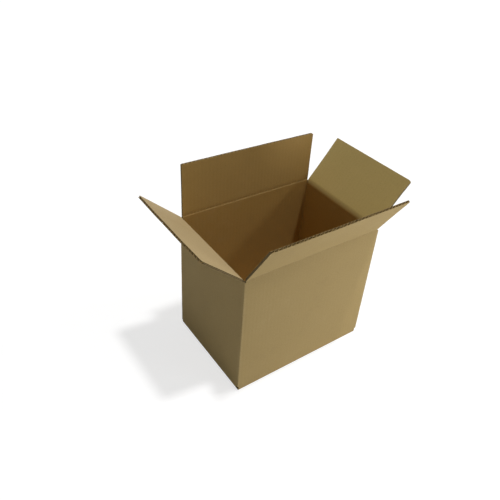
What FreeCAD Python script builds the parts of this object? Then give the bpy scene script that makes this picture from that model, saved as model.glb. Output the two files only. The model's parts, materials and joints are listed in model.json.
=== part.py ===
import FreeCAD, Part
import math
import os
import Sketcher

# A shipping carton for bottles: one sheet of corrugated board, slotted, creased and folded, its four
# top flaps standing open. Millimetres and degrees. +X runs along the long walls, +Y from the front
# wall to the back wall and +Z up. The origin is the middle of the base.

# Driving dimensions: name, size, what it is
DRIVING = [
    ("length", 305, "outside, along the long walls"),
    ("width", 216, "outside, along the short walls"),
    ("crease_height", 271.5, "base to the creases of the long flaps"),
    ("board", 4, "thickness of the corrugated board"),
    ("liner", 0.4, "thickness of each facing sheet of the board"),
    ("medium", 0.3, "thickness of the waved sheet between the facings"),
    ("flute_pitch", 8, "from one wave to the next"),
    ("flute_crest", 1.2, "width of a wave where it is glued to a facing"),
    ("bend_radius", 2.5, "outside of each standing corner and base fold"),
    ("long_inset", 3, "long flaps: from the end walls' outside to the flap's side"),
    ("slip", 0.4, "closed short flaps: play to each long wall"),
    ("lid_play", 0.3, "closed long flaps: play over the short flaps"),
    ("crease_gap", 0.3, "each side of a crease line, for the fold to turn"),
    ("crease_land", 0.2, "left square at the outside of a crease"),
    ("crushed", 9, "board pressed solid beside a crease"),
    ("slot_overrun", 2, "slots: how far they run past a folded flap's inside"),
    ("seam_gap", 0.5, "between two long flaps where they meet"),
    ("glue_line", 0.2, "between glued layers"),
    ("tab_length", 36, "glue tab, from the corner"),
    ("tab_taper", 7, "glue tab: how much each end slopes away"),
    ("tab_play", 3, "glue tab: from its ends to the folded flaps"),
    ("front_lean", 31, "front flap, outwards from upright"),
    ("back_lean", 1, "back flap, outwards from upright"),
    ("left_lean", 48.4, "left flap, outwards from upright"),
    ("right_lean", 39.8, "right flap, outwards from upright"),
]

SPARE = 5  # how far a cutting outline reaches past what it cuts

doc = FreeCAD.newDocument("carton")


class Size:
    """A size as its number and as its formula of the sheet's cells."""

    def __init__(self, value, formula):
        self.value = float(value)
        self.formula = formula

    def __add__(self, other):
        other = as_size(other)
        return Size(self.value + other.value, f"({self.formula} + {other.formula})")

    def __sub__(self, other):
        other = as_size(other)
        return Size(self.value - other.value, f"({self.formula} - {other.formula})")

    def __mul__(self, other):
        other = as_size(other)
        return Size(self.value * other.value, f"({self.formula} * {other.formula})")

    def __truediv__(self, other):
        other = as_size(other)
        return Size(self.value / other.value, f"({self.formula} / {other.formula})")

    def __neg__(self):
        return NOUGHT - self


NOUGHT = Size(0, "0")


def as_size(thing):
    if isinstance(thing, Size):
        return thing
    return Size(thing, str(thing))


def whole_number(size):
    return Size(math.floor(size.value), f"floor({size.formula})")


def make_sheet():
    """Writes the driving dimensions into the spreadsheet and returns them by name."""
    sheet = doc.addObject("Spreadsheet::Sheet", "Sizes")
    sizes = {}
    for row, (name, value, meaning) in enumerate(DRIVING, start=1):
        sheet.set(f"A{row}", meaning)
        sheet.set(f"B{row}", str(value))
        sheet.setAlias(f"B{row}", name)
        sizes[name] = Size(value, f"Sizes.{name}")
    doc.recompute()
    return sizes


def origin_feature(body, role):
    for feature in body.Origin.OriginFeatures:
        if feature.Role == role:
            return feature
    raise RuntimeError(f"{body.Label} has no {role}")


def sketch_on(body, name, plane, lift=None, shift=None):
    """A sketch on one of the body's own planes, lifted off it and shifted along it if asked."""
    sketch = body.newObject("Sketcher::SketchObject", name)
    sketch.AttachmentSupport = [(origin_feature(body, plane), "")]
    sketch.MapMode = "FlatFace"
    if lift is not None:
        sketch.setExpression("AttachmentOffset.Base.z", lift.formula)
    if shift is not None:
        sketch.setExpression("AttachmentOffset.Base.x", shift.formula)
    return sketch


def pin_point(sketch, edge, corner):
    """Holds the start of an edge at a corner given by formulas."""
    for direction, size in zip(("DistanceX", "DistanceY"), corner):
        index = sketch.addConstraint(Sketcher.Constraint(direction, -1, 1, edge, 1, size.value))
        sketch.setExpression(f"Constraints[{index}]", size.formula)


def outline(sketch, corners):
    """Draws a closed outline anticlockwise. A corner is (across, up), or (across, up, radius) where
    a rounded bend leads on to the next corner."""
    first = sketch.GeometryCount
    for number, corner in enumerate(corners):
        corner = [as_size(size) for size in corner]
        following = [as_size(size) for size in corners[(number + 1) % len(corners)]]
        start = FreeCAD.Vector(corner[0].value, corner[1].value, 0)
        end = FreeCAD.Vector(following[0].value, following[1].value, 0)
        if len(corner) == 2:
            edge = sketch.addGeometry(Part.LineSegment(start, end), False)
        else:
            edge = sketch.addGeometry(bend(start, end, corner[2].value), False)
            index = sketch.addConstraint(Sketcher.Constraint("Radius", edge, corner[2].value))
            sketch.setExpression(f"Constraints[{index}]", corner[2].formula)
        pin_point(sketch, edge, corner)
    count = len(corners)
    for number in range(count):
        following = first + (number + 1) % count
        sketch.addConstraint(Sketcher.Constraint("Coincident", first + number, 2, following, 1))


def bend(start, end, radius):
    """The anticlockwise arc of a radius from start to end."""
    chord = end - start
    rise = math.sqrt(max(radius**2 - (chord.Length / 2) ** 2, 0))
    centre = start + chord * 0.5 + FreeCAD.Vector(-chord.y, chord.x, 0).normalize() * rise
    circle = Part.Circle(centre, FreeCAD.Vector(0, 0, 1), radius)
    return Part.ArcOfCircle(circle, circle.parameter(start), circle.parameter(end))


def extrude(body, kind, name, sketch, length, both_ways=False, reverse=False):
    """A Pad or a Pocket of a sketch. Both ways centres it on the sketch's plane."""
    feature = body.newObject(f"PartDesign::{kind}", name)
    feature.Profile = sketch
    feature.Midplane = both_ways
    feature.Reversed = reverse
    feature.setExpression("Length", length.formula)
    return feature


def mirror(body, name, original, plane):
    feature = body.newObject("PartDesign::Mirrored", name)
    feature.Originals = [original]
    feature.MirrorPlane = (origin_feature(body, plane), [""])
    body.Tip = feature


def new_body(name):
    body = doc.addObject("PartDesign::Body", name)
    body.Label = name
    return body


SIZE = make_sheet()
board = SIZE["board"]
bend_radius = SIZE["bend_radius"]
long_inset = SIZE["long_inset"]
glue_line = SIZE["glue_line"]
crease_gap = SIZE["crease_gap"]
crease_land = SIZE["crease_land"]

end_x = SIZE["length"] / 2
side_y = SIZE["width"] / 2
inside_x = end_x - board
inside_y = side_y - board

# The short flaps fold in first, so they are one board narrower each side and crease one board lower.
short_inset = board + SIZE["slip"]
long_flap_width = SIZE["length"] - long_inset * 2
short_flap_width = SIZE["width"] - short_inset * 2
flap_length = side_y - SIZE["seam_gap"] / 2
long_crease = SIZE["crease_height"]
short_crease = long_crease - board - SIZE["lid_play"]

long_wall_top = long_crease - crease_gap
short_wall_top = short_crease - crease_gap
bevel_depth = board - crease_land

# In the glued base the short flaps lie on the long ones.
base_layer = board + glue_line
base_floor = board * 2 + glue_line
bottom_slot = base_floor + SIZE["slot_overrun"]
top_slot = short_crease - board - SIZE["slot_overrun"]


def add_walls(body):
    """The strip of four walls and the glue tab, seen from above. It starts at the front wall's cut
    end, runs clockwise round the carton and ends in the tab, behind the front wall's inside."""
    tab_y = -side_y + board + glue_line
    tab_x = end_x - SIZE["tab_length"]
    strip = sketch_on(body, "strip_outline", "XY_Plane", lift=bottom_slot)
    outline(
        strip,
        [
            (-end_x + bend_radius, -side_y),
            (end_x, -side_y),
            (end_x, -inside_y),
            (-inside_x, -inside_y),
            (-inside_x, inside_y),
            (inside_x, inside_y),
            (inside_x, tab_y + board),
            (tab_x, tab_y + board),
            (tab_x, tab_y),
            (end_x - bend_radius, tab_y, bend_radius),
            (end_x, tab_y + bend_radius),
            (end_x, side_y - bend_radius, bend_radius),
            (end_x - bend_radius, side_y),
            (-end_x + bend_radius, side_y, bend_radius),
            (-end_x, side_y - bend_radius),
            (-end_x, -side_y + bend_radius, bend_radius),
        ],
    )
    extrude(body, "Pad", "walls", strip, long_wall_top - bottom_slot)


def add_base_fold(body, name, plane, half_span, level, breadth, mirror_plane):
    """One pair of base flaps: each wall's foot, its bend and the flap folded in at a level. The outline
    is one side's section, and the other side is its mirror image."""
    fold = sketch_on(body, name + "_outline", plane)
    outline(
        fold,
        [
            (-half_span + bend_radius, level),
            (-half_span + flap_length, level),
            (-half_span + flap_length, level + board),
            (-half_span + board, level + board),
            (-half_span + board, bottom_slot),
            (-half_span, bottom_slot),
            (-half_span, level + bend_radius, bend_radius),
        ],
    )
    folded = extrude(body, "Pad", name, fold, breadth, both_ways=True)
    mirror(body, name + "_pair", folded, mirror_plane)


def add_creases(body):
    """The walls' top edges, pressed to a slope on the inside so that a flap folds over them."""
    long_creases = sketch_on(body, "long_crease_outline", "YZ_Plane")
    outline(
        long_creases,
        [
            (-side_y + crease_land, long_wall_top),
            (-inside_y, long_wall_top - bevel_depth),
            (inside_y, long_wall_top - bevel_depth),
            (side_y - crease_land, long_wall_top),
            (side_y - crease_land, long_wall_top + SPARE),
            (-side_y + crease_land, long_wall_top + SPARE),
        ],
    )
    across = SIZE["length"] + SPARE
    extrude(body, "Pocket", "long_creases", long_creases, across, both_ways=True)

    short_creases = sketch_on(body, "short_crease_outline", "XZ_Plane")
    outline(
        short_creases,
        [
            (-end_x - SPARE, short_wall_top),
            (-end_x + crease_land, short_wall_top),
            (-inside_x, short_wall_top - bevel_depth),
            (inside_x, short_wall_top - bevel_depth),
            (end_x - crease_land, short_wall_top),
            (end_x + SPARE, short_wall_top),
            (end_x + SPARE, long_wall_top + SPARE),
            (-end_x - SPARE, long_wall_top + SPARE),
        ],
    )
    across = inside_y * 2
    extrude(body, "Pocket", "short_creases", short_creases, across, both_ways=True)


def add_slot_ends(body):
    """The slots between neighbouring flaps end a little way down each corner."""
    slots = sketch_on(body, "slot_outlines", "XY_Plane", lift=long_wall_top + SPARE)
    slot_x = end_x - long_inset
    slot_y = side_y - short_inset
    for x_low, x_high in ((-end_x - SPARE, -slot_x), (slot_x, end_x + SPARE)):
        for y_low, y_high in ((-side_y - SPARE, -slot_y), (slot_y, side_y + SPARE)):
            outline(slots, [(x_low, y_low), (x_high, y_low), (x_high, y_high), (x_low, y_high)])
    extrude(body, "Pocket", "slot_ends", slots, long_wall_top + SPARE - top_slot)


def trim_tab(body):
    """The glue tab slopes away at both ends and stays clear of the folded flaps."""
    outer_x = end_x - SIZE["tab_length"] - SPARE
    tab_top = top_slot - SIZE["tab_play"]
    tab_foot = bottom_slot + SIZE["tab_play"]
    ends = sketch_on(body, "tab_end_outlines", "XZ_Plane", lift=inside_y - glue_line / 2)
    outline(
        ends,
        [
            (outer_x, tab_top - SIZE["tab_taper"]),
            (inside_x, tab_top),
            (inside_x, long_wall_top + SPARE),
            (outer_x, long_wall_top + SPARE),
        ],
    )
    outline(
        ends,
        [
            (outer_x, bottom_slot - SPARE),
            (inside_x, bottom_slot - SPARE),
            (inside_x, tab_foot),
            (outer_x, tab_foot + SIZE["tab_taper"]),
        ],
    )
    extrude(body, "Pocket", "tab_ends", ends, board + glue_line)


def make_carton_body():
    body = new_body("carton_body")
    add_walls(body)
    add_creases(body)
    add_slot_ends(body)
    trim_tab(body)
    add_base_fold(body, "long_base_flap", "YZ_Plane", side_y, NOUGHT, long_flap_width, "XZ_Plane")
    add_base_fold(
        body, "short_base_flap", "XZ_Plane", end_x, base_layer, short_flap_width, "YZ_Plane"
    )
    return body


def add_flutes(body, breadth):
    """The hollow flutes, open at the flap's free edge and pressed shut near its crease. Each wave of
    the middle sheet leaves one hollow against the outer facing and one against the inner."""
    pitch = SIZE["flute_pitch"]
    liner = SIZE["liner"]
    medium = SIZE["medium"]
    crest = SIZE["flute_crest"] / 2
    broad = pitch / 2 - crest - medium / 2
    count = whole_number((breadth - board) / pitch)
    first_x = -(count - 1) * pitch / 2 - pitch / 4
    wave = sketch_on(body, "wave_outline", "XY_Plane", lift=SIZE["crushed"], shift=first_x)
    outline(
        wave,
        [
            (-broad, liner),
            (broad, liner),
            (crest, board - liner - medium),
            (-crest, board - liner - medium),
        ],
    )
    middle = pitch / 2
    outline(
        wave,
        [
            (middle - crest, liner + medium),
            (middle + crest, liner + medium),
            (middle + broad, board - liner),
            (middle - broad, board - liner),
        ],
    )
    hollow = extrude(body, "Pocket", "wave", wave, flap_length, reverse=True)
    row = body.newObject("PartDesign::LinearPattern", "flutes")
    row.Originals = [hollow]
    row.Direction = (origin_feature(body, "X_Axis"), [""])
    row.setExpression("Length", ((count - 1) * pitch).formula)
    row.setExpression("Occurrences", count.formula)
    body.Tip = row


def make_flap(name, breadth, hinge_x, hinge_y, hinge_z, turn, lean):
    """A flap on its own axes: X along its crease, Y into the carton, Z up the board, and the origin
    on its crease line at the outside of the wall. It is then turned to its wall and leaned out."""
    body = new_body(name)
    section = sketch_on(body, "board_section", "YZ_Plane")
    outline(
        section,
        [
            (NOUGHT, crease_gap),
            (crease_land, crease_gap),
            (board, crease_gap + bevel_depth),
            (board, flap_length),
            (NOUGHT, flap_length),
        ],
    )
    extrude(body, "Pad", "board", section, breadth, both_ways=True)
    add_flutes(body, breadth)
    hinge = f"vector({hinge_x.formula}; {hinge_y.formula}; {hinge_z.formula})"
    turned = f"rotation(vector(0; 0; 1); {turn})"
    leaned = f"rotation(vector(1; 0; 0); {SIZE[lean].formula})"
    body.setExpression("Placement", f"placement({hinge}; {turned} * {leaned})")
    return body


pieces = [
    make_carton_body(),
    make_flap("flap_front", long_flap_width, NOUGHT, -side_y, long_crease, 0, "front_lean"),
    make_flap("flap_back", long_flap_width, NOUGHT, side_y, long_crease, 180, "back_lean"),
    make_flap("flap_left", short_flap_width, -end_x, NOUGHT, short_crease, -90, "left_lean"),
    make_flap("flap_right", short_flap_width, end_x, NOUGHT, short_crease, 90, "right_lean"),
]
doc.recompute()

for item in doc.Objects:
    if "Invalid" in item.State or "Error" in item.State:
        raise RuntimeError(f"{item.Label} failed to build")
for piece in pieces:
    if piece.Shape.isNull() or not piece.Shape.isValid():
        raise RuntimeError(f"{piece.Label} has no valid shape")

os.makedirs("parts", exist_ok=True)
for piece in pieces:
    piece.Shape.exportStep(f"parts/{piece.Label}.step")
    box = piece.Shape.BoundBox
    print(
        piece.Label,
        f"solids {len(piece.Shape.Solids)}",
        f"faces {len(piece.Shape.Faces)}",
        f"volume {piece.Shape.Volume:.1f}",
        f"x {box.XMin:.2f} {box.XMax:.2f}",
        f"y {box.YMin:.2f} {box.YMax:.2f}",
        f"z {box.ZMin:.2f} {box.ZMax:.2f}",
    )
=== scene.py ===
import json
import math
import random

import bmesh
import bpy
import numpy as np
from mathutils import Matrix, Vector


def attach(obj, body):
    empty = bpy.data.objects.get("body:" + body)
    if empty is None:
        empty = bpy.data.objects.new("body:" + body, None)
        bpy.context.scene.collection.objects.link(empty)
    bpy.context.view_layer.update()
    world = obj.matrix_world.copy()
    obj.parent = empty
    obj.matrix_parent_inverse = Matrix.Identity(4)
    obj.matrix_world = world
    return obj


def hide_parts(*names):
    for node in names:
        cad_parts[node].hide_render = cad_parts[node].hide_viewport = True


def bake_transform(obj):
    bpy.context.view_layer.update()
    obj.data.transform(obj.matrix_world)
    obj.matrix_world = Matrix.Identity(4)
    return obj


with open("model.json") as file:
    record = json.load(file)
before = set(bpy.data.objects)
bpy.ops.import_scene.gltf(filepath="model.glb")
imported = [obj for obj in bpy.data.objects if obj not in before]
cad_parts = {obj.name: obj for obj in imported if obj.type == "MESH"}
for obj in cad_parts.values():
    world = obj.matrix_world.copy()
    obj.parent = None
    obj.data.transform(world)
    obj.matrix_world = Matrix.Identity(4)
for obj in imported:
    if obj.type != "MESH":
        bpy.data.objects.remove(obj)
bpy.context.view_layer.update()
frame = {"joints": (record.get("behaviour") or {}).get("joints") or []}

# A corrugated shipping carton for bottles, folded from one sheet of board, its four top flaps open.
# X runs along the long walls, Y from the front wall to the back wall, Z up. Sizes are in
# millimetres, and turn to metres where a mesh is made.
MM = 0.001

# Corrugated board
BOARD = 4.0         # its whole thickness
LINER = 0.4         # one facing
MEDIUM = 0.4        # the waved middle sheet
PITCH = 8.0         # from one wave to the next
SINK = 0.05         # how far a facing dips between the waves
COLUMN = 1.6        # breadth of one column of faces

# Walls
LENGTH = 305.0
WIDTH = 216.0
BEND = 2.5          # outer radius of a folded corner
INNER_BEND = 0.8
SQUEEZE = 6.0       # the inner facing makes up for a corner's shorter way over this length
BEND_STEPS = 6
TOP_SLOT = 261.2    # where the slots between the top flaps end
POST_TOP = 268.2    # how high the corners stand between the top flaps
PLAIN_RIM = 8.0     # below the top slots, the walls stay flat for this height
WALL_ROWS = 15      # rows of points between the rim and the foot
CORNER_WOBBLE = 0.12
CORNER_WEAR_AND_SHEEN = 0.8   # how pale the board is right beside a corner's bend, from wear and from a painted highlight where the rounded corner catches the light
WEAR_AND_SHEEN_REACH = 2.6    # how far from the bend the wear and the painted highlight fade out
WALL_BOW = {"front": 0.9, "left": 0.7, "back": 0.5, "right": -0.4, "tab": 0.9}

# Glue tab
TAB_LENGTH = 36.0
TAB_GAP = 0.2       # the glue between it and the front wall
TAB_TAPER = 7.0     # how much its two ends slant
TAB_PLAY = 3.0      # how far its ends keep from the slots' ends

# Base
BOTTOM_SLOT = 10.2  # where the slots between the base flaps end
BASE_LAYER = 4.2    # how much higher the short base flaps lie than the long ones
FOLD_STEPS = 5
BASE_ROWS = (6.0, 8.0, 11.0, 16.0, 24.0, 34.0, 45.0, 56.0, 67.0, 78.0, 89.0, 98.0, 104.0)

# Flaps
LONG_FLAP = 299.0   # breadths, along the crease
SHORT_FLAP = 207.2
FLAP_LENGTH = 107.75
LONG_CREASE = 271.5
SHORT_CREASE = 267.2
CUT_PLAY = 0.15     # how much shorter than its full length a flap is cut
RAGGED = 0.12       # how far its cut edge wanders
RIPPLE = 0.25       # how far its face wanders
SIDE_WEB = 0.5      # board that stays closed at a flap's sides
CRUSHED = 9.0       # above the crease, the waves are pressed flat up to here
RIDGES_FROM = 5.0   # the facings' ridges start here above the crease
RIDGES_FULL = 10.0
TONE_FROM = -5.0    # the walls' inner tone, with its painted shade, turns to the flap's from here
TONE_FULL = 3.0

# The pressed crease of a top flap
FOLD_REACH = 1.6    # the board turns from this far below the crease to this far above it
CREASE_LOW = 5.6    # the inner facing is drawn across from here below the crease
CREASE_HIGH = 6.2   # to here above it
CREASE_PULL = 0.9   # how full that curve is
CREASE_WEAR = 2.2   # how far from the crease the wear fades out
DENT_DEPTH = 0.3    # the groove in the outer facing
DENT_REACH = 1.3
LEDGE_DEPTH = 0.45  # the ledge in the inner facing of an upright flap
LEDGE_LEAN = 15.0   # degrees of lean over which the ledge flattens out
LEDGE_BELOW = 1.1   # the ledge starts here below the crease
LEDGE_STEP = 1.3    # is at its deepest after this much
LEDGE_RISE = 8.0    # and comes back to the flat board over this much
LEDGE_END = 8.5     # which ends here above the crease
CREASE_ROWS = [0.25, 0.5, 0.8, 1.1, 1.5, 2.0, 2.6, 3.3, 4.1, 5.0]
SIDE_COLUMNS = [0.0, 0.25, 0.6, 1.0, 1.5, 2.2, 3.2]
FLAT_ROWS = 17      # rows of points from the crushed strip to the cut edge

# The waved sheet inside a flap
FLUTE_PLAY = 0.1    # how much smaller than its pocket it is
FLUTE_SHY = 0.25    # how far inside the cut edge it ends
FLUTE_GRIP = 0.04   # how much taller than its pocket it is, so that its crests meet the facings
WAVE_COLUMNS = 12   # columns of points for each wave
FLUTE_ROWS = 9

END_X = LENGTH / 2
SIDE_Y = WIDTH / 2
CORNER_X = END_X - BEND
CORNER_Y = SIDE_Y - BEND
QUARTER_BEND = BEND * math.pi / 2

# Where the left, back and right walls and the glue tab start along the unfolded sheet
LEFT_START = LENGTH - BEND + QUARTER_BEND
BACK_START = LEFT_START + WIDTH - 2 * BEND + QUARTER_BEND
RIGHT_START = BACK_START + LENGTH - 2 * BEND + QUARTER_BEND
TAB_START = RIGHT_START + WIDTH - 2 * BEND - BOARD - TAB_GAP + QUARTER_BEND


def smooth_step(x):
    x = np.clip(x, 0.0, 1.0)
    return x * x * (3 - 2 * x)


def waver(seed, spans, x, y=None):
    """A gentle random rise and fall along x (and y), between about -1 and 1."""
    draw = random.Random(seed)
    total = np.zeros_like(np.asarray(x, float))
    for span in spans:
        turn = draw.uniform(0, 2 * math.pi)
        wave = np.sin(2 * math.pi * x / (span * draw.uniform(0.85, 1.15)) + turn)
        if y is not None:
            turn = draw.uniform(0, 2 * math.pi)
            wave = wave * np.sin(2 * math.pi * y / (span * draw.uniform(0.85, 1.15)) + turn)
        total = total + wave
    return total / len(spans)


def washboard(sheet_x):
    """How far the outer facing sinks between the waves glued to it, from 0 to 1."""
    return 0.5 - 0.5 * np.cos(2 * math.pi * sheet_x / PITCH)


def even_steps(start, stops):
    """Positions from start through each stop, evenly spaced between, about one column apart."""
    marks = [start]
    for stop in stops:
        count = max(1, round(abs(stop - marks[-1]) / COLUMN))
        first = marks[-1]
        marks += [first + (stop - first) * (k + 1) / count for k in range(count)]
    return marks


# Meshes

def without_spares(points, faces, values):
    """The same faces and values, without the points that no face uses."""
    used = np.zeros(len(points), bool)
    for face in faces:
        used[list(face)] = True
    number = np.cumsum(used) - 1
    faces = [tuple(int(number[k]) for k in face) for face in faces]
    return points[used], faces, {key: numbers[used] for key, numbers in values.items()}


def board_mesh(name, points, faces, values, cut_faces):
    """A closed piece of board, its faces outwards. values are numbers at its points by name, and
    cut_faces says which faces are cut edges."""
    points, faces, values = without_spares(points, faces, values)
    mesh = bpy.data.meshes.new(name)
    mesh.from_pydata((points * MM).tolist(), [], faces)
    shell = bmesh.new()
    shell.from_mesh(mesh)
    bmesh.ops.recalc_face_normals(shell, faces=shell.faces)
    shell.to_mesh(mesh)
    shell.free()
    for key, numbers in values.items():
        numbers = np.asarray(numbers, np.float32)
        if numbers.ndim == 2:
            attribute = mesh.attributes.new(key, "FLOAT_VECTOR", "POINT")
            attribute.data.foreach_set("vector", numbers.ravel())
        else:
            attribute = mesh.attributes.new(key, "FLOAT", "POINT")
            attribute.data.foreach_set("value", numbers)
    raw = np.zeros(len(mesh.polygons), np.float32)
    raw[list(cut_faces)] = 1
    attribute = mesh.attributes.new("raw_edge", "FLOAT", "FACE")
    attribute.data.foreach_set("value", raw)
    mesh.polygons.foreach_set("use_smooth", [True] * len(mesh.polygons))
    mesh.set_sharp_from_angle(angle=math.radians(38))
    piece = bpy.data.objects.new(name, mesh)
    bpy.context.scene.collection.objects.link(piece)
    return piece


def two_skins(kept, shape):
    """Faces of a board whose outer and inner skins share one grid. kept says which cells are board.
    Outer points come first, then inner points. Returns the faces and the cut ones' numbers."""
    rows, columns = shape
    size = rows * columns
    faces = []
    sides = {}
    for i, j in zip(*np.nonzero(kept)):
        a = i * columns + j
        b, c, d = a + 1, a + columns + 1, a + columns
        faces.append((a, b, c, d))
        faces.append((a + size, d + size, c + size, b + size))
        for edge in ((a, b), (b, c), (c, d), (d, a)):
            key = (min(edge), max(edge))
            sides[key] = None if key in sides else edge
    first_cut = len(faces)
    for edge in sides.values():
        if edge is not None:
            a, b = edge
            faces.append((b, a, a + size, b + size))
    return faces, range(first_cut, len(faces))


# The carton's walls and base

def wall_columns():
    """Columns round the sheet: outer point, inner point, outward direction, place along the
    unfolded sheet, wall, and whether it is in a folded corner."""
    columns = []

    def squeezed(a, half, plain_end=0):
        """Inside a corner the inner facing has less room than the outer one."""
        start = half - BEND - SQUEEZE
        room = half - BOARD - INNER_BEND - start
        if abs(a) <= start or (plain_end and a * plain_end > 0):
            return a
        return math.copysign(start + (abs(a) - start) * room / SQUEEZE, a)

    def bend(centre, inner_centre, start_angle, sheet_x, wall):
        for k in range(1, BEND_STEPS):
            angle = start_angle - math.pi / 2 * k / BEND_STEPS
            out = (math.cos(angle), math.sin(angle))
            outer = (centre[0] + BEND * out[0], centre[1] + BEND * out[1])
            inner = (inner_centre[0] + INNER_BEND * out[0], inner_centre[1] + INNER_BEND * out[1])
            along = sheet_x + QUARTER_BEND * k / BEND_STEPS
            columns.append((outer, inner, out, along, wall, True))

    inner_x, inner_y = END_X - BOARD - INNER_BEND, SIDE_Y - BOARD - INNER_BEND
    half_long, half_short = LONG_FLAP / 2, SHORT_FLAP / 2

    for x in even_steps(END_X, [half_long, -half_long, -CORNER_X]):
        inner = (squeezed(x, END_X, plain_end=1), -SIDE_Y + BOARD)
        columns.append(((x, -SIDE_Y), inner, (0, -1), END_X - x, "front", False))
    bend((-CORNER_X, -CORNER_Y), (-inner_x, -inner_y), -math.pi / 2, END_X + CORNER_X, "front")
    for y in even_steps(-CORNER_Y, [-half_short, half_short, CORNER_Y]):
        inner = (-END_X + BOARD, squeezed(y, SIDE_Y))
        columns.append(((-END_X, y), inner, (-1, 0), LEFT_START + y + CORNER_Y, "left", False))
    bend((-CORNER_X, CORNER_Y), (-inner_x, inner_y), math.pi, LEFT_START + 2 * CORNER_Y, "left")
    for x in even_steps(-CORNER_X, [-half_long, half_long, CORNER_X]):
        inner = (squeezed(x, END_X), SIDE_Y - BOARD)
        columns.append(((x, SIDE_Y), inner, (0, 1), BACK_START + x + CORNER_X, "back", False))
    bend((CORNER_X, CORNER_Y), (inner_x, inner_y), math.pi / 2, BACK_START + 2 * CORNER_X, "back")
    # The right wall stops short of the front wall, because the glue tab lies inside that
    tab_y = -SIDE_Y + BOARD + TAB_GAP
    low = tab_y + BEND
    for y in even_steps(CORNER_Y, [half_short, -half_short + BOARD, low]):
        reach = SIDE_Y if y > 0 else -tab_y
        inner = (END_X - BOARD, squeezed(y, reach))
        columns.append(((END_X, y), inner, (1, 0), RIGHT_START + CORNER_Y - y, "right", False))
    inner_low = tab_y + BOARD + INNER_BEND
    bend((CORNER_X, low), (inner_x, inner_low), 0.0, RIGHT_START + CORNER_Y - low, "right")
    for x in even_steps(CORNER_X, [CORNER_X - SQUEEZE, END_X - TAB_LENGTH]):
        inner = (squeezed(x, END_X), tab_y + BOARD)
        columns.append(((x, tab_y), inner, (0, -1), TAB_START + CORNER_X - x, "tab", False))
    return columns


def half_breadth(wall):
    return END_X if wall in ("front", "back", "tab") else SIDE_Y


def wall_bulge(wall, along, z):
    """How far an empty carton's wall stands out of flat, most in its middle."""
    height = TOP_SLOT - PLAIN_RIM - BOTTOM_SLOT
    rise = np.sin(np.clip((z - BOTTOM_SLOT) / height, 0, 1) * math.pi) ** 2
    across = np.cos(np.clip(along / half_breadth(wall), -1, 1) * math.pi / 2) ** 1.5
    return WALL_BOW[wall] * rise * across


def beside_bend(along, wall, bent):
    """How pale a corner's bend leaves the board, partly from wear and partly a painted highlight
    where the rounded corner catches the light: 1 in the bend, less beside it.
    """
    away = max(half_breadth(wall) - BEND - abs(along), 0.0)
    return 1.0 if bent else CORNER_WEAR_AND_SHEEN * math.exp(-((away / WEAR_AND_SHEEN_REACH) ** 2))


def wall_heights():
    """Heights of the rows down a wall, from the corner posts to the slots of the base flaps."""
    rim = TOP_SLOT - PLAIN_RIM
    middle = list(np.linspace(rim, BOTTOM_SLOT + 10, WALL_ROWS)[1:])
    return [POST_TOP, TOP_SLOT, TOP_SLOT - 3, rim] + middle + [BOTTOM_SLOT + 4, BOTTOM_SLOT]


def fold_rows(level):
    """The section of a wall's foot folded in to a base flap: outer and inner points, each by its
    place inwards and its height."""
    corner = BOARD + INNER_BEND
    rows = [((0.0, level + BEND), (BOARD, level + corner))]
    for k in range(1, FOLD_STEPS + 1):
        angle = math.pi / 2 * k / FOLD_STEPS
        outer = (BEND - BEND * math.cos(angle), level + BEND - BEND * math.sin(angle))
        inner = (
            corner - INNER_BEND * math.cos(angle),
            level + corner - INNER_BEND * math.sin(angle),
        )
        rows.append((outer, inner))
    for inwards in BASE_ROWS + (FLAP_LENGTH,):
        rows.append(((inwards, level), (inwards, level + BOARD)))
    return rows


def tab_height(x, z):
    """A height on the glue tab, whose ends taper towards its free edge."""
    share = max((END_X - BOARD - x) / (TAB_LENGTH - BOARD), 0)
    low = BOTTOM_SLOT + TAB_PLAY + TAB_TAPER * share
    high = TOP_SLOT - TAB_PLAY - TAB_TAPER * share
    return low + (high - low) * (min(z, TOP_SLOT) - BOTTOM_SLOT) / (TOP_SLOT - BOTTOM_SLOT)


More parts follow.
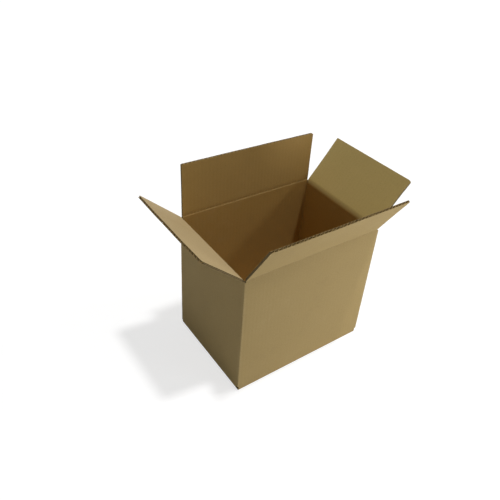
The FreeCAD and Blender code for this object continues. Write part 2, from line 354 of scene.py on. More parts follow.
def make_carton_board():
    """The walls, the glue tab and the base flaps, as one folded board."""
    columns = wall_columns()
    heights = wall_heights()
    long_fold, short_fold = fold_rows(0.0), fold_rows(BASE_LAYER)
    row_count = len(heights) + len(long_fold)
    shape = (row_count, len(columns))
    outer, inner = np.zeros(shape + (3,)), np.zeros(shape + (3,))
    sheet = np.zeros(shape + (3,))
    fold = np.zeros(shape)
    reach = {
        "front": LONG_FLAP / 2, "back": LONG_FLAP / 2,
        "left": SHORT_FLAP / 2, "right": SHORT_FLAP / 2,
    }
    footed = []
    for j, ((ox, oy), (ix, iy), (dx, dy), sheet_x, wall, bent) in enumerate(columns):
        along = ox if wall in ("front", "back", "tab") else oy
        sunk = float(washboard(sheet_x))
        footed.append(not bent and wall != "tab" and abs(along) <= reach[wall] + 1e-6)
        for i, z in enumerate(heights):
            if wall == "tab":
                z = tab_height(ox, z)
            bulge = 0.0 if bent else float(wall_bulge(wall, along, z))
            waved = 0.0 if bent else SINK * float(smooth_step((TOP_SLOT - z) / PLAIN_RIM))
            wobble = CORNER_WOBBLE * float(waver(7, (90, 37, 16), z)) if bent else 0.0
            out = bulge - waved * sunk + wobble
            inside = bulge - waved * (1 - sunk)
            outer[i, j] = (ox + dx * out, oy + dy * out, z)
            inner[i, j] = (ix + dx * inside, iy + dy * inside, z)
            sheet[i, j] = (sheet_x, z, 0)
            fold[i, j] = beside_bend(along, wall, bent)
        rows = short_fold if wall in ("left", "right") else long_fold
        past = 0.0
        for k, ((out_in, out_z), (inn_in, inn_z)) in enumerate(rows):
            i = len(heights) + k
            past = past + (0 if k == 0 else math.dist((out_in, out_z), rows[k - 1][0]))
            waved = SINK if k > FOLD_STEPS else 0.0
            outer[i, j] = (ox - dx * out_in, oy - dy * out_in, out_z + waved * sunk)
            plain = (ox, oy) if k else (ix + dx * BOARD, iy + dy * BOARD)
            inner[i, j] = (
                plain[0] - dx * inn_in, plain[1] - dy * inn_in, inn_z - waved * (1 - sunk))
            sheet[i, j] = (sheet_x, -past, 0)
            fold[i, j] = 1.0 if 0 < k <= FOLD_STEPS else 0.0
    footed = np.array(footed)
    under_flap = footed[:-1] & footed[1:]
    kept = np.ones((row_count - 1, len(columns) - 1), bool)
    kept[len(heights) - 1:, :] = under_flap[None, :]
    # Above the slots' ends only the corners between the flaps stand, and none at the glue tab
    kept[0, :] = ~under_flap
    tab_bend = max(j for j, foot in enumerate(footed) if foot)
    kept[0, tab_bend:] = False
    faces, cut_faces = two_skins(kept, shape)
    points = np.concatenate([outer.reshape(-1, 3), inner.reshape(-1, 3)])
    values = {
        "sheet": np.concatenate([sheet.reshape(-1, 3)] * 2) * MM,
        "depth": np.concatenate([np.zeros(fold.size), np.ones(fold.size)]),
        "fold": np.concatenate([fold.ravel()] * 2),
    }
    return board_mesh("carton_board", points, faces, values, cut_faces)


# The four top flaps

class Flap:
    """One top flap, open. Across runs along its crease, up the board away from it, and deep from
    the outer facing to the inner one. Its place and its lean come from its joint. blunt, skew and
    waist are pairs for its two sides: how far its corners are rounded off, how much longer it is
    cut, and how far its sides curve inwards. bow and curl bend its face, and seed sets the random
    wander of its edge, its face and its waves."""

    def __init__(self, side, seed, breadth, crease, turn, sheet_start, bow, blunt, waist,
                 curl=0.0, skew=(0.0, 0.0)):
        self.side = side
        self.seed = seed
        self.breadth = breadth
        self.crease = crease
        joint = next(j for j in frame["joints"] if j["name"] == "fold_" + side)
        self.hinge = Vector(joint["pos_m"]) / MM
        self.lean = math.radians(joint["range_deg"][1] - 90)
        self.turn = Matrix.Rotation(math.radians(turn), 3, "Z")
        self.sheet_start = sheet_start
        self.bow, self.curl = bow, curl
        self.blunt, self.waist, self.skew = blunt, waist, skew

    def sheet_x(self, across):
        return self.sheet_start - across

    def edge_at(self, across):
        """How far up the board reaches at a place across: a ragged cut with blunted corners."""
        blunt = np.where(across > 0, self.blunt[1], self.blunt[0])
        share = 0.5 + across / self.breadth
        skew = self.skew[0] * (1 - share) + self.skew[1] * share
        inward = np.clip(blunt - (self.breadth / 2 - np.abs(across)), 0, blunt)
        drop = blunt - np.sqrt(np.maximum(blunt**2 - inward**2, 0))
        ragged = RAGGED * waver(self.seed + 3, (41, 13, 5.3), across)
        return FLAP_LENGTH - CUT_PLAY - drop + ragged + skew

    def place(self, across, up, deep):
        """Points of the flat board, put where they are on the open flap."""
        turned = smooth_step((up + FOLD_REACH) / (2 * FOLD_REACH))
        share = np.clip(up / FLAP_LENGTH, 0, 1)
        side = 2 * across / self.breadth
        waist = np.where(across > 0, self.waist[1], self.waist[0])
        across = across - waist * side**3 * np.sin(math.pi * share)
        bent = self.bow * (1 - side**2) * share**2
        bent = bent + self.curl * share**2
        bent = bent + RIPPLE * waver(self.seed * 5, (150, 83), across, up + 20) * share
        deep = deep + bent
        angle = self.lean * turned
        y = deep * np.cos(angle) - up * np.sin(angle)
        z = deep * np.sin(angle) + up * np.cos(angle)
        points = np.stack([across, y, z], -1) @ np.array(self.turn).T
        return points + np.array(self.hinge)

    def inside_crease(self, across, up, deep):
        """Points of the inner facing round the crease, drawn in one curve from wall to flap."""
        low, high = CREASE_LOW, CREASE_HIGH
        t = ((up + low) / (low + high))[..., None]
        below = self.place(across, np.full_like(up, -low), deep)
        above = self.place(across, np.full_like(up, high), deep)
        wall_up = np.array((0.0, 0.0, 1.0))
        leaning = np.array((0.0, -math.sin(self.lean), math.cos(self.lean)))
        flap_up = np.array(self.turn) @ leaning
        pull = (low + high) * CREASE_PULL
        line = (2 * t**3 - 3 * t**2 + 1) * below + (t**3 - 2 * t**2 + t) * pull * wall_up
        return line + (3 * t**2 - 2 * t**3) * above + (t**3 - t**2) * pull * flap_up

    def ledge(self, across, up):
        """How far the creasing wheel pressed the inner facing in: a short step, then a slow rise.
        It shows most on a flap that stands nearly upright."""
        pressed = LEDGE_DEPTH * math.exp(-math.degrees(self.lean) / LEDGE_LEAN)
        pressed = pressed * (0.75 + 0.6 * waver(self.seed + 11, (47, 19, 8), across))
        step = smooth_step((up + LEDGE_BELOW) / LEDGE_STEP)
        return pressed * step * smooth_step((LEDGE_END - up) / LEDGE_RISE)


def crease_dent(up):
    """How far the outer facing is pressed in along the crease."""
    return DENT_DEPTH * np.exp(-((up / DENT_REACH) ** 2))


def flap_rows(drop):
    """Places up the board: the strip of wall below the crease, the crease and the flap."""
    below = [-up for up in reversed(CREASE_ROWS) if up < drop - 0.4]
    rows = [-drop] + below + [0.0] + CREASE_ROWS + [6.5, CRUSHED]
    return rows + list(np.linspace(CRUSHED, FLAP_LENGTH, FLAT_ROWS)[1:])


def flap_columns(breadth):
    """Places across the board, closer together near its sides."""
    half = breadth / 2
    fine = SIDE_COLUMNS[-1]
    marks = [-half + inset for inset in SIDE_COLUMNS]
    marks += even_steps(-half + fine, [half - fine])[1:]
    return marks + [half - inset for inset in reversed(SIDE_COLUMNS[:-1])]


def pressed_board_faces(row_count, columns, solid):
    """Faces of a board with four skins on one grid: its outer and inner facings, then the outer and
    inner sides of its pocket, which starts at row solid. Returns them and the cut ones' numbers."""
    size = row_count * columns
    outside, inside, pocket_out, pocket_in = range(4)
    faces, cut_faces = [], []

    def add(corners, cut):
        if cut:
            cut_faces.append(len(faces))
        faces.append(corners)

    def strip(skin_a, row_a, skin_b, row_b, cut):
        for j in range(columns - 1):
            a = skin_a * size + row_a * columns + j
            b = skin_b * size + row_b * columns + j
            add((a, a + 1, b + 1, b), cut)

    last = row_count - 1
    for i in range(last):
        strip(outside, i, outside, i + 1, False)
        strip(inside, i + 1, inside, i, False)
        if i >= solid:
            strip(pocket_out, i + 1, pocket_out, i, True)
            strip(pocket_in, i, pocket_in, i + 1, True)
    strip(pocket_out, solid, pocket_in, solid, True)
    strip(outside, last, pocket_out, last, True)
    strip(pocket_in, last, inside, last, True)
    strip(inside, 0, outside, 0, True)
    for j in (0, columns - 1):
        for i in range(last):
            a, b = i * columns + j, (i + 1) * columns + j
            add((a, b, b + size, a + size), True)
            if i >= solid:
                add((a + 2 * size, b + 2 * size, b + 3 * size, a + 3 * size), True)
        end = last * columns + j
        add((end, end + 2 * size, end + 3 * size, end + size), True)
    return faces, cut_faces


def make_flap_board(flap):
    """The flap's two facings, joined as one pressed board from the wall past the crease."""
    rows = flap_rows(flap.crease - TOP_SLOT)
    ups = np.array(rows)
    marks = np.array(flap_columns(flap.breadth))
    up, across = np.meshgrid(ups, marks, indexing="ij")
    stretch = np.where(up > CRUSHED, (up - CRUSHED) / (FLAP_LENGTH - CRUSHED), 0)
    real_up = up + stretch * (flap.edge_at(across) - FLAP_LENGTH)
    sheet_x = flap.sheet_x(across)
    ridged = smooth_step((up - RIDGES_FROM) / (RIDGES_FULL - RIDGES_FROM))
    outer = SINK * washboard(sheet_x) * ridged + crease_dent(real_up)
    inner = BOARD - SINK * (1 - washboard(sheet_x)) * ridged - flap.ledge(across, real_up)
    # The pocket for the waved sheet ends a little inside the board's pressed sides
    at_side = np.abs(across) > flap.breadth / 2 - 1e-6
    pocket_across = across - np.sign(across) * SIDE_WEB * at_side
    skins = [
        flap.place(across, real_up, outer),
        flap.place(across, real_up, inner),
        flap.place(pocket_across, real_up, outer + LINER),
        flap.place(pocket_across, real_up, inner - LINER),
    ]
    crossing = (ups > -CREASE_LOW) & (ups < CREASE_HIGH)
    skins[1][crossing] = flap.inside_crease(across[crossing], real_up[crossing], inner[crossing])
    points = np.concatenate([skin.reshape(-1, 3) for skin in skins])
    faces, cut_faces = pressed_board_faces(len(rows), len(marks), rows.index(CRUSHED))
    place = [sheet_x, flap.crease + real_up, np.zeros_like(sheet_x)]
    sheet = np.stack(place, -1).reshape(-1, 3)
    depths = (0.0, 1.0, LINER / BOARD, 1 - LINER / BOARD)
    worn = np.exp(-((real_up / CREASE_WEAR) ** 2)).ravel()
    # Painted shade: how far the walls' shaded inner tone has turned to this flap's own lit or
    # shaded copy
    flap_shade_share = smooth_step((real_up.ravel() - TONE_FROM) / (TONE_FULL - TONE_FROM))
    values = {
        "sheet": np.concatenate([sheet] * 4) * MM,
        "depth": np.concatenate([np.full(up.size, depth) for depth in depths]),
        "fold": np.concatenate([worn] * 4),
        "flap_shade_share": np.concatenate([flap_shade_share] * 4),
    }
    return board_mesh(flap.side + "_flap_board", points, faces, values, cut_faces)


# The waved middle sheet, as Geometry Nodes

def flute_tree():
    """A waved sheet: a flat grid raised in waves along X and given its thickness."""
    tree = bpy.data.node_groups.new("waved_middle_sheet", "GeometryNodeTree")
    face = tree.interface

    def add_input(name, kind, value=None):
        socket = face.new_socket(name, in_out="INPUT", socket_type="NodeSocket" + kind)
        if value is not None:
            socket.default_value = value

    add_input("Geometry", "Geometry")
    add_input("Breadth", "Float", 0.3)
    add_input("Length", "Float", 0.1)
    add_input("Pitch", "Float", 0.008)
    add_input("Height", "Float", 0.0032)
    add_input("Thickness", "Float", 0.0003)
    add_input("Shift", "Float", 0.0)
    add_input("Unevenness", "Float", 0.03)
    add_input("Columns", "Int", 400)
    add_input("Rows", "Int", 8)
    add_input("Seed", "Int", 1)
    add_input("Material", "Material")
    face.new_socket("Geometry", in_out="OUTPUT", socket_type="NodeSocketGeometry")

    nodes, links = tree.nodes, tree.links
    source = nodes.new("NodeGroupInput")
    result = nodes.new("NodeGroupOutput")

    def math_node(kind, *values):
        node = nodes.new("ShaderNodeMath")
        node.operation = kind
        for socket, value in zip(node.inputs, values):
            if isinstance(value, (int, float)):
                socket.default_value = value
            else:
                links.new(value, socket)
        return node.outputs[0]

    grid = nodes.new("GeometryNodeMeshGrid")
    links.new(source.outputs["Breadth"], grid.inputs["Size X"])
    links.new(source.outputs["Length"], grid.inputs["Size Y"])
    links.new(source.outputs["Columns"], grid.inputs["Vertices X"])
    links.new(source.outputs["Rows"], grid.inputs["Vertices Y"])

    position = nodes.new("GeometryNodeInputPosition")
    split = nodes.new("ShaderNodeSeparateXYZ")
    links.new(position.outputs[0], split.inputs[0])
    shifted = math_node("ADD", split.outputs["X"], source.outputs["Shift"])
    waves = math_node("DIVIDE", shifted, source.outputs["Pitch"])
    angle = math_node("MULTIPLY", waves, 2 * math.pi)
    wave = math_node("COSINE", angle)
    # A little of a wave three times as fine broadens the crests, where they meet the facings
    third = math_node("COSINE", math_node("MULTIPLY", angle, 3.0))
    third = math_node("MULTIPLY", third, -0.07)
    shape = math_node("DIVIDE", math_node("ADD", wave, third), 0.93)
    # Inputs 2 and 3 of Random Value are the lowest and highest of a plain number
    chance = nodes.new("FunctionNodeRandomValue")
    chance.data_type = "FLOAT"
    chance.inputs[2].default_value = -1.0
    chance.inputs[3].default_value = 1.0
    links.new(math_node("FLOOR", waves), chance.inputs["ID"])
    links.new(source.outputs["Seed"], chance.inputs["Seed"])
    uneven = math_node("MULTIPLY", chance.outputs[1], source.outputs["Unevenness"])
    size = math_node("SUBTRACT", 1.0, math_node("ABSOLUTE", uneven))
    travel = math_node("SUBTRACT", source.outputs["Height"], source.outputs["Thickness"])
    half = math_node("DIVIDE", travel, -2.0)
    height = math_node("MULTIPLY", math_node("MULTIPLY", shape, size), half)
    offset = nodes.new("ShaderNodeCombineXYZ")
    links.new(height, offset.inputs["Z"])
    raised = nodes.new("GeometryNodeSetPosition")
    links.new(grid.outputs["Mesh"], raised.inputs["Geometry"])
    links.new(offset.outputs[0], raised.inputs["Offset"])

    # The sheet is lowered by half its thickness, and its upper side raised by all of it
    normal = nodes.new("GeometryNodeInputNormal")
    scale = nodes.new("ShaderNodeVectorMath")
    scale.operation = "SCALE"
    links.new(normal.outputs[0], scale.inputs[0])
    links.new(math_node("MULTIPLY", source.outputs["Thickness"], -0.5), scale.inputs["Scale"])
    under = nodes.new("GeometryNodeSetPosition")
    links.new(raised.outputs[0], under.inputs["Geometry"])
    links.new(scale.outputs[0], under.inputs["Offset"])
    thick = nodes.new("GeometryNodeExtrudeMesh")
    thick.mode = "FACES"
    thick.inputs["Individual"].default_value = False
    links.new(under.outputs[0], thick.inputs["Mesh"])
    normal = nodes.new("GeometryNodeInputNormal")
    links.new(normal.outputs[0], thick.inputs["Offset"])
    links.new(source.outputs["Thickness"], thick.inputs["Offset Scale"])
    turned = nodes.new("GeometryNodeFlipFaces")
    links.new(under.outputs[0], turned.inputs[0])
    joined = nodes.new("GeometryNodeJoinGeometry")
    links.new(turned.outputs[0], joined.inputs[0])
    links.new(thick.outputs["Mesh"], joined.inputs[0])
    merged = nodes.new("GeometryNodeMergeByDistance")
    merged.inputs["Distance"].default_value = 1e-6
    links.new(joined.outputs[0], merged.inputs["Geometry"])
    smooth = nodes.new("GeometryNodeSetShadeSmooth")
    links.new(merged.outputs[0], smooth.inputs["Geometry"])
    real = nodes.new("GeometryNodeRealizeInstances")
    links.new(smooth.outputs[0], real.inputs[0])
    finish = nodes.new("GeometryNodeSetMaterial")
    links.new(real.outputs[0], finish.inputs["Geometry"])
    links.new(source.outputs["Material"], finish.inputs["Material"])
    links.new(finish.outputs[0], result.inputs[0])
    return tree


def grown_mesh(name, tree, settings):
    """Runs a Geometry Nodes tree and keeps its result as a plain mesh."""
    mesh = bpy.data.meshes.new(name)
    piece = bpy.data.objects.new(name, mesh)
    bpy.context.scene.collection.objects.link(piece)
    modifier = piece.modifiers.new("rule", "NODES")
    modifier.node_group = tree
    for item in tree.interface.items_tree:
        if item.item_type == "SOCKET" and item.in_out == "INPUT" and item.name in settings:
            modifier[item.identifier] = settings[item.name]
    bpy.context.view_layer.update()
    grown = piece.evaluated_get(bpy.context.evaluated_depsgraph_get())
    plain = bpy.data.meshes.new_from_object(grown)
    piece.modifiers.clear()
    piece.data = plain
    return piece


def make_flap_flutes(flap, tree, material):
    """The waved sheet in the flap's pocket, bent with the flap."""
    length = FLAP_LENGTH - CRUSHED - FLUTE_PLAY
    piece = grown_mesh(flap.side + "_flap_flutes", tree, {
        "Breadth": (flap.breadth - 2 * SIDE_WEB - FLUTE_PLAY) * MM,
        "Length": length * MM,
        "Pitch": PITCH * MM,
        "Height": (BOARD - 2 * LINER + FLUTE_GRIP) * MM,
        "Thickness": MEDIUM * MM,
        "Shift": -flap.sheet_start * MM,
        "Columns": int(flap.breadth / PITCH * WAVE_COLUMNS),
        "Rows": FLUTE_ROWS,
        "Seed": flap.seed,
        "Material": material,
    })
    mesh = piece.data
    flat = np.zeros(len(mesh.vertices) * 3, np.float32)
    mesh.vertices.foreach_get("co", flat)
    flat = flat.reshape(-1, 3).astype(float) / MM
    across = flat[:, 0]
    share = np.clip(flat[:, 1] / length + 0.5, 0, 1)
    up = CRUSHED + share * (flap.edge_at(across) - FLUTE_SHY - CRUSHED)
    deep = flat[:, 2] + BOARD / 2
    points = flap.place(across, up, deep) * MM
    mesh.vertices.foreach_set("co", points.astype(np.float32).ravel())
    mesh.update()
    return piece


# Finishes

def colour(r, g, b):
    """A colour written as it shows, turned to the light values that Blender works in."""
    linear = [c / 12.92 if c <= 0.04045 else ((c + 0.055) / 1.055) ** 2.4 for c in (r, g, b)]
    return (*linear, 1.0)


OUTER_TONE = colour(0.64, 0.552, 0.36)
OUTER_DARK = colour(0.47, 0.38, 0.23)
OUTER_PALE = colour(0.73, 0.65, 0.48)
INNER_DARK = colour(0.53, 0.41, 0.23)
INNER_PALE = colour(0.77, 0.66, 0.46)
# The inner facing's tone on the walls and on each flap: one paper, in copies with painted light and
# shade, more orange on the shaded walls inside and paler on the well-lit left flap
INNER_TONES_WITH_PAINTED_SHADE = {
    "walls": colour(0.70, 0.56, 0.305),
    "front": colour(0.70, 0.60, 0.38),
    "back": colour(0.715, 0.585, 0.34),
    "left": colour(0.705, 0.62, 0.455),
    "right": colour(0.72, 0.63, 0.385),
}
INNER_SHIFT = 0.37      # metres between the two facings' places in the paper's pattern
RIB_STRENGTH = 0.03     # how much the glued waves show as stripes
WEAR_AND_SHEEN_STRENGTH = 0.35    # how pale the worn folds are, with the painted highlight by the corners


class Wiring:
    """Short ways to add and join the nodes of one material or group."""

    def __init__(self, tree):
        self.nodes = tree.nodes
        self.links = tree.links

    def node(self, kind, inputs=None, **settings):
        made = self.nodes.new(kind)
        for key, value in settings.items():
            setattr(made, key, value)
        for key, value in (inputs or {}).items():
            self.feed(made.inputs[key], value)
        return made

    def feed(self, socket, value):
        if isinstance(value, bpy.types.NodeSocket):
            self.links.new(value, socket)
        else:
            socket.default_value = value

    def attribute(self, name, output="Fac"):
        return self.node("ShaderNodeAttribute", attribute_name=name).outputs[output]

    def math(self, operation, *values):
        made = self.nodes.new("ShaderNodeMath")
        made.operation = operation
        for socket, value in zip(made.inputs, values):
            self.feed(socket, value)
        return made.outputs[0]

    def mix(self, factor, a, b):
        """Colour a where the factor is 0, and b where it is 1."""
        made = self.nodes.new("ShaderNodeMix")
        made.data_type = "RGBA"
        self.feed(made.inputs["Factor"], factor)
        self.feed(made.inputs[6], a)
        self.feed(made.inputs[7], b)
        return made.outputs[2]

    def ramp(self, value, low, high):
        inputs = {"Value": value, "From Min": low, "From Max": high}
        made = self.node("ShaderNodeMapRange", inputs)
        made.interpolation_type = "SMOOTHSTEP"
        return made.outputs["Result"]

    def swing(self, value, strength):
        """A noise's rise and fall about its middle."""
        return self.math("MULTIPLY", self.math("SUBTRACT", value, 0.5), strength)

    def noise(self, vector, scale, detail, rough, distortion=0.0):
        made = self.node("ShaderNodeTexNoise", {
            "Vector": vector, "Scale": scale, "Detail": detail,
            "Roughness": rough, "Distortion": distortion,
        })
        return made.outputs["Fac"]

    def stretched(self, vector, scale):
        inputs = {0: vector, 1: scale}
        return self.node("ShaderNodeVectorMath", inputs, operation="MULTIPLY").outputs[0]

    def bump(self, strength, distance, height):
        inputs = {"Strength": strength, "Distance": distance, "Height": height}
        return self.node("ShaderNodeBump", inputs).outputs[0]


def add_sockets(tree, kind, values):
    for name, value in values:
        socket = tree.interface.new_socket(name, in_out="INPUT", socket_type="NodeSocket" + kind)
        socket.default_value = value


def kraft_group():
    """Kraft paper: mottled tone, long fibres and flecks, on a pattern space in metres."""
    tree = bpy.data.node_groups.new("kraft_paper", "ShaderNodeTree")
    face = tree.interface
    face.new_socket("Space", in_out="INPUT", socket_type="NodeSocketVector")
    add_sockets(tree, "Color", [
        ("Tone", OUTER_TONE), ("Dark Fibre", OUTER_DARK), ("Pale Fibre", OUTER_PALE)])
    add_sockets(tree, "Float", [("Mottle", 0.5), ("Fibres", 0.5), ("Flecks", 0.5)])
    face.new_socket("Colour", in_out="OUTPUT", socket_type="NodeSocketColor")
    face.new_socket("Roughness", in_out="OUTPUT", socket_type="NodeSocketFloat")
    face.new_socket("Height", in_out="OUTPUT", socket_type="NodeSocketFloat")
    w = Wiring(tree)
    source = w.node("NodeGroupInput").outputs
    space = source["Space"]
    # Clouds about 11 cm across, patches about 2 cm, fibres a few millimetres long and specks
    cloud = w.noise(space, 9.0, 3.0, 0.6)
    patch = w.noise(space, 55.0, 3.0, 0.6)
    along = w.noise(w.stretched(space, (1500.0, 260.0, 1500.0)), 1.0, 3.0, 0.6, 0.4)
    cross = w.noise(w.stretched(space, (420.0, 1400.0, 900.0)), 1.0, 3.0, 0.6, 0.6)
    fleck = w.noise(space, 900.0, 1.0, 0.4)
    mottle = w.math("ADD", w.swing(cloud, 0.6), w.swing(patch, 0.35))
    mottle = w.math("MULTIPLY", mottle, source["Mottle"])
    paler = w.math("MULTIPLY", w.ramp(mottle, 0.0, 0.3), 0.8)
    darker = w.math("MULTIPLY", w.ramp(mottle, 0.0, -0.3), 0.8)
    tone = w.mix(paler, source["Tone"], source["Pale Fibre"])
    tone = w.mix(darker, tone, source["Dark Fibre"])
    dark = w.math("MULTIPLY", w.ramp(along, 0.52, 0.78), source["Fibres"])
    pale = w.math("MULTIPLY", w.ramp(cross, 0.55, 0.8), source["Fibres"])
    specks = w.math("MULTIPLY", w.ramp(fleck, 0.66, 0.74), source["Flecks"])
    tone = w.mix(dark, tone, source["Dark Fibre"])
    tone = w.mix(pale, tone, source["Pale Fibre"])
    tone = w.mix(specks, tone, source["Dark Fibre"])
    height = w.math("ADD", w.math("MULTIPLY", along, 0.6), w.math("MULTIPLY", cross, 0.4))
    rough = w.math("ADD", 0.8, w.swing(patch, 0.16))
    w.node("NodeGroupOutput", {"Colour": tone, "Roughness": rough, "Height": height})
    return tree


def cut_edge_group():
    """Cut board seen from its edge: two facings and the torn waved sheet between them, drawn on a
    flat face with painted shade: dark hollows beside the waved sheet, and facing edges darker than
    the facings.
    """
    tree = bpy.data.node_groups.new("cut_board_edge", "ShaderNodeTree")
    face = tree.interface
    face.new_socket("Space", in_out="INPUT", socket_type="NodeSocketVector")
    face.new_socket("Depth", in_out="INPUT", socket_type="NodeSocketFloat")
    add_sockets(tree, "Color", [
        # The facings' edges are darker than their faces, partly painted shade, and the hollows'
        # dark colour is painted shade
        ("Facing", colour(0.53, 0.45, 0.29)),
        ("Hollow Shade", colour(0.27, 0.22, 0.12)),
        ("Middle Sheet", colour(0.5, 0.43, 0.27)),
    ])
    face.new_socket("Colour", in_out="OUTPUT", socket_type="NodeSocketColor")
    w = Wiring(tree)
    source = w.node("NodeGroupInput").outputs
    ragged = w.noise(source["Space"], 700.0, 3.0, 0.7)
    depth = w.math("ADD", source["Depth"], w.swing(ragged, 0.2))
    from_middle = w.math("ABSOLUTE", w.math("SUBTRACT", depth, 0.5))
    facing = w.ramp(from_middle, 0.33, 0.41)
    sheet = w.math("SUBTRACT", 1.0, w.ramp(from_middle, 0.05, 0.16))
    # Painted shade: between the waved sheet and the facings, the flat edge takes the hollows' dark
    # colour
    tone = w.mix(sheet, source["Hollow Shade"], source["Middle Sheet"])
    tone = w.mix(facing, tone, source["Facing"])
    w.node("NodeGroupOutput", {"Colour": tone})
    return tree


def board_material(place, paper, cut_edge):
    """Kraft board for the walls or one flap: outer facing, inner facing with the place's painted
    shade, folds paler from wear and from a painted highlight by the corners, and cut edges with
    painted shade.
    """
    material = bpy.data.materials.new("kraft_" + place)
    material.use_nodes = True
    w = Wiring(material.node_tree)
    shader = material.node_tree.nodes["Principled BSDF"]
    sheet = w.attribute("sheet", "Vector")
    depth = w.attribute("depth")
    fold = w.attribute("fold")
    raw = w.attribute("raw_edge")
    flap_shade_share = w.attribute("flap_shade_share")
    inner_side = w.math("GREATER_THAN", depth, 0.5)
    apart = w.node("ShaderNodeCombineXYZ", {"Z": w.math("MULTIPLY", inner_side, INNER_SHIFT)})
    apart = apart.outputs[0]
    space = w.node("ShaderNodeVectorMath", {0: sheet, 1: apart}, operation="ADD").outputs[0]
    outside = w.node("ShaderNodeGroup", {"Space": space}, node_tree=paper)
    w.feed(outside.inputs["Tone"], OUTER_TONE)
    w.feed(outside.inputs["Dark Fibre"], OUTER_DARK)
    w.feed(outside.inputs["Pale Fibre"], OUTER_PALE)
    inside = w.node("ShaderNodeGroup", {"Space": space}, node_tree=paper)
    # Painted shade: the walls' shaded inner tone turns to this flap's copy above the crease
    inner_tone = w.mix(flap_shade_share, INNER_TONES_WITH_PAINTED_SHADE["walls"], INNER_TONES_WITH_PAINTED_SHADE[place])
    w.feed(inside.inputs["Tone"], inner_tone)
    w.feed(inside.inputs["Dark Fibre"], INNER_DARK)
    w.feed(inside.inputs["Pale Fibre"], INNER_PALE)
    tone = w.mix(inner_side, outside.outputs["Colour"], inside.outputs["Colour"])
    # Faint stripes over the waves, dark outside where they are pale inside
    across = w.node("ShaderNodeSeparateXYZ", {0: sheet}).outputs["X"]
    turn = w.math("MULTIPLY", across, 2 * math.pi / (PITCH * MM))
    ribs = w.math("MULTIPLY", w.math("COSINE", turn), 0.5)
    swap = w.math("SUBTRACT", 1.0, w.math("MULTIPLY", inner_side, 2.0))
    ribs = w.math("ADD", 0.5, w.math("MULTIPLY", ribs, swap))
    tone = w.mix(w.math("MULTIPLY", ribs, RIB_STRENGTH), tone, OUTER_DARK)
    # Paler folds: wear, and by the corners also a painted highlight where the bend catches the
    # light
    worn = w.math("MULTIPLY", fold, w.ramp(w.noise(sheet, 240.0, 4.0, 0.7), 0.35, 0.7))
    tone = w.mix(w.math("MULTIPLY", worn, WEAR_AND_SHEEN_STRENGTH), tone, OUTER_PALE)
    object_place = w.node("ShaderNodeTexCoord").outputs["Object"]
    cut = w.node("ShaderNodeGroup", {"Space": object_place, "Depth": depth}, node_tree=cut_edge)
    tone = w.mix(raw, tone, cut.outputs["Colour"])
    w.feed(shader.inputs["Base Color"], tone)
    w.feed(shader.inputs["Roughness"], outside.outputs["Roughness"])
    shader.inputs["Specular IOR Level"].default_value = 0.3
    w.feed(shader.inputs["Normal"], w.bump(0.25, 0.00008, outside.outputs["Height"]))
    return material


def flute_material(paper):
    """The waved middle sheet: plain paper with darker fibres than the facings."""
    material = bpy.data.materials.new("kraft_middle_sheet")
    material.use_nodes = True
    w = Wiring(material.node_tree)
    shader = material.node_tree.nodes["Principled BSDF"]
    object_place = w.node("ShaderNodeTexCoord").outputs["Object"]
    sheet = w.node("ShaderNodeGroup", {"Space": object_place}, node_tree=paper)
    w.feed(sheet.inputs["Tone"], colour(0.66, 0.56, 0.37))
    w.feed(sheet.inputs["Dark Fibre"], colour(0.36, 0.27, 0.15))
    w.feed(sheet.inputs["Pale Fibre"], colour(0.76, 0.67, 0.49))
    w.feed(shader.inputs["Base Color"], sheet.outputs["Colour"])
    w.feed(shader.inputs["Roughness"], sheet.outputs["Roughness"])
    shader.inputs["Specular IOR Level"].default_value = 0.2
    w.feed(shader.inputs["Normal"], w.bump(0.3, 0.0001, sheet.outputs["Height"]))
    return material


paper = kraft_group()
cut_edge = cut_edge_group()
# The walls and each flap get their own copy of the material, which differ only in their painted
# inner shade
kraft = {place: board_material(place, paper, cut_edge) for place in INNER_TONES_WITH_PAINTED_SHADE}
kraft_middle = flute_material(paper)

# Building the pieces

carton = make_carton_board()
carton.data.materials.append(kraft["walls"])
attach(carton, "carton")
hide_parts("carton_body")

flaps = [
    Flap("front", 5, LONG_FLAP, LONG_CREASE, 0, END_X,
         bow=-0.5, blunt=(1.4, 1.6), waist=(0.3, 0.2)),
    Flap("back", 4, LONG_FLAP, LONG_CREASE, 180, BACK_START + CORNER_X,
         bow=-0.5, blunt=(3.2, 1.2), waist=(0.4, 0.2), skew=(-2.0, 0.0)),
    Flap("left", 4, SHORT_FLAP, SHORT_CREASE, -90, LEFT_START + CORNER_Y,
         bow=-0.6, blunt=(3.0, 6.0), waist=(0.3, 0.3), skew=(2.0, 0.0)),
    Flap("right", 5, SHORT_FLAP, SHORT_CREASE, 90, RIGHT_START + CORNER_Y,
         bow=0.3, blunt=(5.0, 1.2), waist=(2.2, 0.4), curl=1.0, skew=(3.0, 0.8)),
]
flutes = flute_tree()
for flap in flaps:
    flap_board = make_flap_board(flap)
    flap_board.data.materials.append(kraft[flap.side])
    half_lean = flap.lean / 2
    reach = Vector((0, -math.sin(half_lean), math.cos(half_lean))) * FOLD_REACH * MM
    reach = flap.turn @ reach
    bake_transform(flap_board)
    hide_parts("flap_" + flap.side)
    middle = make_flap_flutes(flap, flutes, kraft_middle)
    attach(middle, flap.side)

# Floor, light and camera, in metres

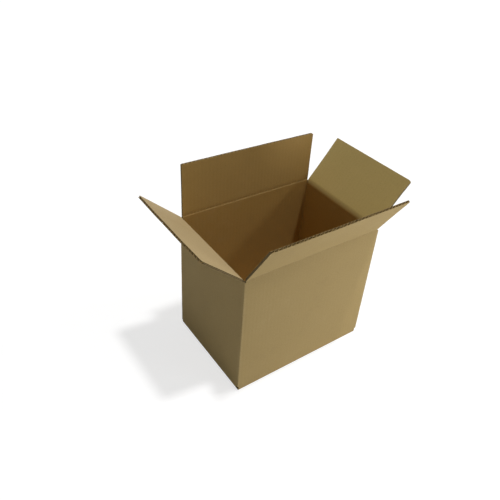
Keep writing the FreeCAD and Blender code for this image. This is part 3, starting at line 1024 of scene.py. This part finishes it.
FLOOR_HALF = 12.0
FLOOR_GREY = (0.65, 0.65, 0.65, 1)      # what the floor throws back on the carton
FLOOR_SEEN = (0.4, 0.4, 0.4, 1)         # with its glow, what the camera sees
FLOOR_GLOW = 0.7
BLACK, WHITE = (0, 0, 0, 1), (1, 1, 1, 1)
WALL_MIDDLE = (0, -SIDE_Y * MM, 0.13)
CAMERA_PLACE = (-0.5575, -0.6589, 0.8517)
CAMERA_RIGHT = (0.80393, -0.58844, 0.08622)
CAMERA_UP = (0.29006, 0.51452, 0.80693)
CAMERA_LOOK = (0.51919, 0.62371, -0.58432)
CAMERA_LENS = 39.95
CAMERA_SHIFT = (-0.05, -0.02)


def directly_seen(w):
    """1 for what the camera sees, itself or in a gloss, and 0 for the light on the carton."""
    path = w.node("ShaderNodeLightPath").outputs
    return w.math("MAXIMUM", path["Is Camera Ray"], path["Is Glossy Ray"])


def make_floor():
    mesh = bpy.data.meshes.new("floor")
    half = FLOOR_HALF
    corners = [(-half, -half, 0), (half, -half, 0), (half, half, 0), (-half, half, 0)]
    mesh.from_pydata(corners, [], [(0, 1, 2, 3)])
    floor = bpy.data.objects.new("floor", mesh)
    bpy.context.scene.collection.objects.link(floor)
    material = bpy.data.materials.new("pale_floor")
    material.use_nodes = True
    w = Wiring(material.node_tree)
    shader = material.node_tree.nodes["Principled BSDF"]
    shader.inputs["Roughness"].default_value = 0.9
    shader.inputs["Specular IOR Level"].default_value = 0.1
    seen = directly_seen(w)
    w.feed(shader.inputs["Base Color"], w.mix(seen, FLOOR_GREY, FLOOR_SEEN))
    w.feed(shader.inputs["Emission Color"], w.mix(seen, BLACK, WHITE))
    shader.inputs["Emission Strength"].default_value = FLOOR_GLOW
    mesh.materials.append(material)


def make_world(brightness):
    """Even light all round, with a white background for the camera."""
    world = bpy.data.worlds.new("studio")
    world.use_nodes = True
    w = Wiring(world.node_tree)
    for node in list(w.nodes):
        w.nodes.remove(node)
    grey = (brightness, brightness, brightness, 1)
    around = w.node("ShaderNodeBackground", {"Color": grey, "Strength": 1.0})
    white = w.node("ShaderNodeBackground", {"Color": WHITE, "Strength": 1.0})
    inputs = {0: directly_seen(w), 1: around.outputs[0], 2: white.outputs[0]}
    both = w.node("ShaderNodeMixShader", inputs)
    w.node("ShaderNodeOutputWorld", {"Surface": both.outputs[0]})
    bpy.context.scene.world = world


def aim(thing, direction):
    """Turns a lamp to shine in a direction."""
    thing.rotation_mode = "QUATERNION"
    thing.rotation_quaternion = direction.to_track_quat("-Z", "Y")


def add_light(name, towards, spread, strength):
    """A far soft light, even over the whole scene. towards points from the carton to the light, and
    spread is how wide it looks, in degrees."""
    data = bpy.data.lights.new(name, "SUN")
    data.angle = math.radians(spread)
    data.energy = strength
    lamp = bpy.data.objects.new(name, data)
    aim(lamp, -Vector(towards))
    bpy.context.scene.collection.objects.link(lamp)


def add_low_card(name, place, size, watts):
    """A low white card near the front, which brightens the front wall."""
    data = bpy.data.lights.new(name, "AREA")
    data.shape = "SQUARE"
    data.size = size
    data.energy = watts
    card = bpy.data.objects.new(name, data)
    card.location = place
    aim(card, Vector(WALL_MIDDLE) - Vector(place))
    card.visible_camera = False
    bpy.context.scene.collection.objects.link(card)


def add_camera():
    data = bpy.data.cameras.new("camera")
    data.sensor_width = 36.0
    data.lens = CAMERA_LENS
    data.shift_x, data.shift_y = CAMERA_SHIFT
    data.clip_start = 0.01
    camera = bpy.data.objects.new("camera", data)
    turn = Matrix((Vector(CAMERA_RIGHT), Vector(CAMERA_UP), -Vector(CAMERA_LOOK))).transposed()
    camera.rotation_mode = "QUATERNION"
    camera.rotation_quaternion = turn.to_quaternion()
    camera.location = CAMERA_PLACE
    bpy.context.scene.collection.objects.link(camera)
    bpy.context.scene.camera = camera


make_floor()
make_world(0.145)
add_light("overhead", (0.137, -0.15, 1.0), spread=5, strength=1.82)
add_light("from_the_right", (1.0, -0.4, 0.855), spread=6, strength=0.55)
add_light("from_behind", (0.0, 1.0, 0.08), spread=20, strength=0.9)
add_low_card("front_card", (0.35, -0.8, 0.12), size=0.35, watts=3.2)
add_camera()
bpy.context.scene.view_settings.view_transform = "Standard"
